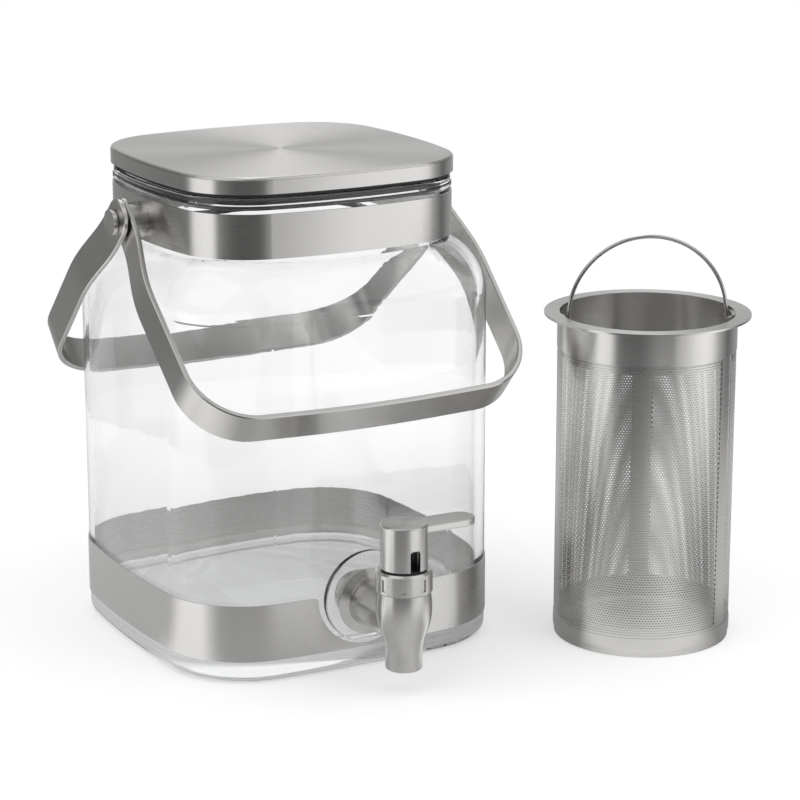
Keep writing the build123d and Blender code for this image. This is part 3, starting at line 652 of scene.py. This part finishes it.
@dataclass
class BasketFilter:
    """Basket filter: perforated tube between a turned rim and a drawn base, with a wire bail."""

    radius: float = 40.25 * MM
    low: float = 9.0 * MM
    high: float = 135.0 * MM
    margin: float = 0.7 * MM
    pitch: float = 1.35 * MM
    hole: float = 0.32 * MM             # half the height of a hole
    hole_width: float = 1.155           # of a hole, in heights
    strips: tuple[float, ...] = (-62.0, 58.0, 161.0)    # middles of the plain strips, in degrees
    strip_width: float = 12.7           # in degrees
    strip_steps: int = 8
    sheet: Steel = Steel("perforated_steel", Grain.AROUND, centre=FILTER_CENTRE, roughness=0.28,
                         anisotropy=0.5)
    turned: Steel = Steel("turned_steel", Grain.AROUND, centre=FILTER_CENTRE, roughness=0.25)
    wire: Steel = Steel("wire_steel", Grain.SATIN, roughness=0.16, streak=2.5 * MM, depth=0.0004 * MM)

    def build(self) -> None:
        """Build the perforated wall and dress the other nodes."""
        self._wall()
        dress(self.turned.material(), "filter_rim", "filter_base")
        dress(self.wire.material(), "filter_bail", "bail_lug_left", "bail_lug_right")

    def _place(self, along: float, height: float) -> Triple:
        """Wrap a point of the flat sheet round the tube.

        Args:
            along: Length round the tube from the +X side.
            height: Height above the table.

        Returns:
            The point in the frame.
        """
        turn = along / self.radius
        x, y, _ = FILTER_CENTRE
        return (x + self.radius * math.cos(turn), y + self.radius * math.sin(turn), height)

    def _wall(self) -> None:
        """Build the tube: three perforated fields, three plain strips and two plain edges."""
        draft = MeshDraft()
        edges = sorted(self.strips)
        half = self.strip_width / 2
        for number, middle in enumerate(edges):
            following = edges[(number + 1) % len(edges)] + (360 if number + 1 == len(edges) else 0)
            start, end = (math.radians(angle) * self.radius for angle in (middle + half, following - half))
            before = math.radians(middle - half) * self.radius
            columns = round((end - start) / self.pitch)
            self._field(draft, start, (end - start) / columns, columns)
            self._strip(draft, before, start)
        wall = draft.piece("perforated_tube", self.sheet.material(), "filter")
        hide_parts("filter_tube")

    def _strip(self, draft: MeshDraft, start: float, end: float) -> None:
        """Add a plain strip from the lower to the upper edge.

        Args:
            draft: Mesh that gets the faces.
            start: Where the strip begins, round the tube.
            end: Where it ends.
        """
        for step in range(self.strip_steps):
            left, right = (start + (end - start) * (step + more) / self.strip_steps for more in (0, 1))
            draft.face(self._place(left, self.low), self._place(right, self.low),
                       self._place(right, self.high), self._place(left, self.high))

    def _field(self, draft: MeshDraft, start: float, pitch: float, columns: int) -> None:
        """Add one perforated field of hexagonal cells, each a ring round its hole.

        Args:
            draft: Mesh that gets the faces.
            start: Where the field begins, round the tube.
            pitch: Width of a cell.
            columns: Cells in a full row.
        """
        bottom, top = self.low + self.margin, self.high - self.margin
        rows = 2 * round((top - bottom) / (pitch * math.sqrt(0.75)) / 2) + 1
        tall = (top - bottom) / (1.5 * (rows - 1) + 2)
        corners = [(0.0, -1.0), (0.5, -0.5), (0.5, 0.5), (0.0, 1.0), (-0.5, 0.5), (-0.5, -0.5)]
        end = start + columns * pitch

        def at(column: float, height: float) -> Triple:
            """Give the point of the tube at a column and a height."""
            return self._place(start + column * pitch, height)

        for row in range(rows):
            middle = bottom + tall * (1 + 1.5 * row)
            odd = row % 2
            for cell in range(columns - odd):
                column = cell + 0.5 + 0.5 * odd
                outer = [at(column + x, middle + tall * z) for x, z in corners]
                wide = self.hole_width * 2 * self.hole / pitch
                holes = [at(column + wide * x, middle + self.hole * z) for x, z in corners]
                for side in range(6):
                    following = (side + 1) % 6
                    draft.face(outer[side], outer[following], holes[following], holes[side])
            if odd:
                for edge, inner in ((0, 0.5), (columns, columns - 0.5)):
                    draft.face(at(edge, middle - tall), at(inner, middle - tall / 2),
                               at(inner, middle + tall / 2), at(edge, middle + tall))
        for edge, tip, flat in ((bottom, bottom + tall / 2, self.low), (top, top - tall / 2, self.high)):
            for column in range(columns + 1):
                left, right = max(0.0, column - 0.5), min(columns, column + 0.5)
                draft.face(at(left, edge), at(right, edge), at(column, tip))
                draft.face(at(left, flat), at(right, flat), at(right, edge), at(left, edge))


# ------------------------------------------------------------------ studio
@dataclass(frozen=True)
class SoftLamp:
    """Large square lamp."""

    name: str
    place: Triple
    size: float
    power: float

    def build(self, target: Vector) -> None:
        """Add the lamp, turned to a target."""
        light = bpy.data.lights.new(self.name, "AREA")
        light.size, light.energy = self.size, self.power
        lamp = bpy.data.objects.new(self.name, light)
        lamp.location = self.place
        lamp.rotation_euler = (target - Vector(self.place)).to_track_quat("-Z", "Y").to_euler()
        bpy.context.scene.collection.objects.link(lamp)


@dataclass
class Studio:
    """White studio: floor, lamps, surroundings and camera."""

    azimuth: float = -28.9113
    elevation: float = 14.6775
    distance: float = 1.281307
    shift: tuple[float, float] = (-0.053864, -0.101053)
    focal_pixels: float = 2724.695
    picture_pixels: float = 800.0
    sensor: float = 36.0
    clip: tuple[float, float] = (0.05, 50.0)
    table: float = 0.46                 # radius
    table_centre: tuple[float, float] = (0.05, -0.02)
    table_sides: int = 96
    tap_side: Triple = (0.0, -0.06, 0.0)            # middle of the bands of light on the table
    near_edge: tuple[float, float] = (0.2, 0.24)    # distances where the near bands end and the outer begin
    camera_glow: float = 0.36
    glass_glow: tuple[float, float] = (0.2, 0.34)   # of the table through glass, near and far
    glass_fade: tuple[float, float] = (0.25, 0.42)  # distances where the first ends and the second begins
    table_paint: float = 0.95
    mirrored_paint: float = 0.2
    horizon: tuple[float, float] = (0.0, 0.12)      # upward parts of a ray where bands change
    overhead: tuple[float, float] = (0.35, 0.8)
    glass_rise: tuple[float, float] = (0.05, 0.4)
    # Bands of light: directions in degrees from +X towards +Y, and levels.
    outer_table: Bands = ((-180, 1.15), (-162, 1.15), (-152, 0.2), (-139, 0.05), (-108, 0.1), (-94, 0.45),
                          (-84, 1.15), (-62, 1.0), (-44, 0.2), (-28, 0.08), (-20, 0.5), (30, 0.5),
                          (100, 0.42), (138, 0.6), (150, 1.0), (180, 1.0))
    near_table: Bands = ((-180, 1.05), (-176, 0.95), (-165, 0.33), (-118, 0.36), (-100, 0.5), (-82, 0.48),
                         (-64, 0.33), (-56, 0.5), (-48, 0.85), (-32, 0.8), (-24, 0.2), (30, 0.2),
                         (61, 0.4), (105, 0.42), (150, 0.45), (162, 1.0), (180, 1.0))
    room_low: Bands = ((-180, 1.3), (-170, 1.3), (-161, 0.1), (-150, 0.03), (-100, 0.04), (-90, 0.12),
                       (-84, 0.5), (-72, 0.8), (-60, 1.2), (-45, 1.4), (-34, 1.2), (-20, 0.5), (0, 0.1),
                       (18, 0.3), (61, 0.5), (94, 0.3), (134, 0.2), (146, 0.25), (150, 0.5), (158, 1.2),
                       (180, 1.3))
    room_high: Bands = ((-180, 0.18), (-130, 0.2), (-80, 0.18), (-20, 0.2), (28, 0.2), (44, 0.42),
                        (56, 0.52), (61, 0.6), (66, 0.56), (90, 0.45), (104, 0.16), (150, 0.15),
                        (180, 0.16))
    ceiling: Bands = ((-180, 0.5), (40, 0.5), (54, 2.0), (68, 2.0), (82, 0.5), (180, 0.5))
    through_glass: Bands = ((-180, 0.5), (-118, 0.6), (-60, 0.5), (-10, 0.45), (20, 1.0), (102, 1.0),
                            (130, 0.45), (180, 0.5))
    ambient: float = 0.62
    above_glass: float = 0.35
    target: Triple = (0.03, -0.03, 0.08)
    lamps: tuple[SoftLamp, ...] = (SoftLamp("key", (-1.35, -0.25, 1.5), 2.0, 6.0),
                                   SoftLamp("fill", (0.95, -1.1, 1.3), 1.8, 5.0))

    def build(self) -> None:
        """Build floor, surroundings, lamps and camera."""
        self._floor()
        self._surroundings()
        for lamp in self.lamps:
            lamp.build(Vector(self.target))
        self._camera()

    def _camera(self) -> None:
        """Place the camera."""
        turn, rise = math.radians(self.azimuth), math.radians(self.elevation)
        back = Vector((math.sin(turn) * math.cos(rise), -math.cos(turn) * math.cos(rise), math.sin(rise)))
        right = Vector((math.cos(turn), math.sin(turn), 0))
        up = Vector((-math.sin(turn) * math.sin(rise), math.cos(turn) * math.sin(rise), math.cos(rise)))
        lens = bpy.data.cameras.new("camera")
        lens.sensor_width = self.sensor
        lens.lens = self.focal_pixels * self.sensor / self.picture_pixels
        lens.clip_start, lens.clip_end = self.clip
        camera = bpy.data.objects.new("camera", lens)
        matrix = Matrix((right, up, back)).transposed().to_4x4()
        matrix.translation = back * self.distance - right * self.shift[0] - up * self.shift[1]
        camera.matrix_world = matrix
        bpy.context.scene.collection.objects.link(camera)
        bpy.context.scene.camera = camera

    def _floor(self) -> None:
        """Build the pale round table top."""
        x, y = self.table_centre
        turns = [2 * math.pi * side / self.table_sides for side in range(self.table_sides)]
        rim = [(x + self.table * math.cos(turn), y + self.table * math.sin(turn), 0.0) for turn in turns]
        mesh = bpy.data.meshes.new("floor")
        mesh.from_pydata(rim, [], [tuple(range(self.table_sides))])
        recipe = Recipe("studio_floor")
        mirrored = recipe.maths("MULTIPLY", recipe.ray("Glossy"), recipe.ray("Reflection"))
        paint = recipe.add("ShaderNodeBsdfDiffuse")
        recipe.link(recipe.blend(mirrored, self.table_paint, self.mirrored_paint), paint.inputs["Color"])
        point = recipe.object_point(self.tap_side)
        split = recipe.add("ShaderNodeSeparateXYZ")
        recipe.link(point, split.inputs[0])
        x, y, _ = split.outputs
        length = recipe.add("ShaderNodeVectorMath", operation="LENGTH")
        recipe.link(point, length.inputs[0])
        apart = length.outputs["Value"]
        bands = recipe.blend(recipe.spread(apart, 0.0, 1.0, *self.near_edge),
                             recipe.bands(x, y, self.near_table), recipe.bands(x, y, self.outer_table))
        faded = recipe.spread(apart, *self.glass_glow, *self.glass_fade)
        plain = recipe.maths("MULTIPLY", recipe.ray("Transmission"), faded)
        plain = recipe.maths("MULTIPLY_ADD", recipe.ray("Camera"), self.camera_glow, plain)
        glow = recipe.add("ShaderNodeEmission", inputs={"Strength": 1.0})
        recipe.link(recipe.blend(mirrored, plain, bands), glow.inputs["Color"])
        both = recipe.add("ShaderNodeAddShader")
        recipe.link(paint.outputs[0], both.inputs[0])
        recipe.link(glow.outputs[0], both.inputs[1])
        mesh.materials.append(recipe.finish(both.outputs[0]))
        floor = bpy.data.objects.new("floor", mesh)
        bpy.context.scene.collection.objects.link(floor)

    def _surroundings(self) -> None:
        """Set the world: white behind the object, with soft bands of light and dark in reflections."""
        world = bpy.data.worlds.new("studio")
        world.use_nodes = True
        bpy.context.scene.world = world
        sky = Wiring(world.node_tree, "ShaderNodeOutputWorld")
        coords = sky.add("ShaderNodeTexCoord")
        split = sky.add("ShaderNodeSeparateXYZ")
        sky.link(coords.outputs["Generated"], split.inputs[0])
        x, y, z = split.outputs
        bands = sky.bands(x, y, self.room_low)
        raised = sky.blend(sky.spread(z, 0.0, 1.0, *self.horizon), bands, sky.bands(x, y, self.room_high))
        above = sky.spread(z, 0.0, 1.0, *self.overhead)
        overhead = sky.blend(above, raised, sky.bands(x, y, self.ceiling))
        glossy = sky.blend(sky.ray("Glossy"), self.ambient, overhead)
        through = sky.blend(sky.spread(z, 0.0, 1.0, *self.glass_rise), sky.bands(x, y, self.through_glass),
                            self.above_glass)
        bent = sky.blend(sky.ray("Transmission"), glossy, through)
        seen = sky.blend(sky.ray("Camera"), bent, 1.0)
        background = sky.add("ShaderNodeBackground", inputs={"Strength": 1.0})
        sky.link(seen, background.inputs["Color"])
        sky.link(background.outputs[0], sky.output.inputs["Surface"])


def main() -> None:
    """Build and dress every sub-assembly in order."""
    logging.basicConfig(level=logging.INFO, format="%(name)s: %(message)s")
    settings = bpy.context.scene.view_settings
    settings.view_transform = "Standard"
    for part in (Jar(), Lid(), StrapHandles(), LeverTap(), BasketFilter(), Studio()):
        log.info("building %s", type(part).__name__)
        part.build()


if __name__ == "__main__":
    main()
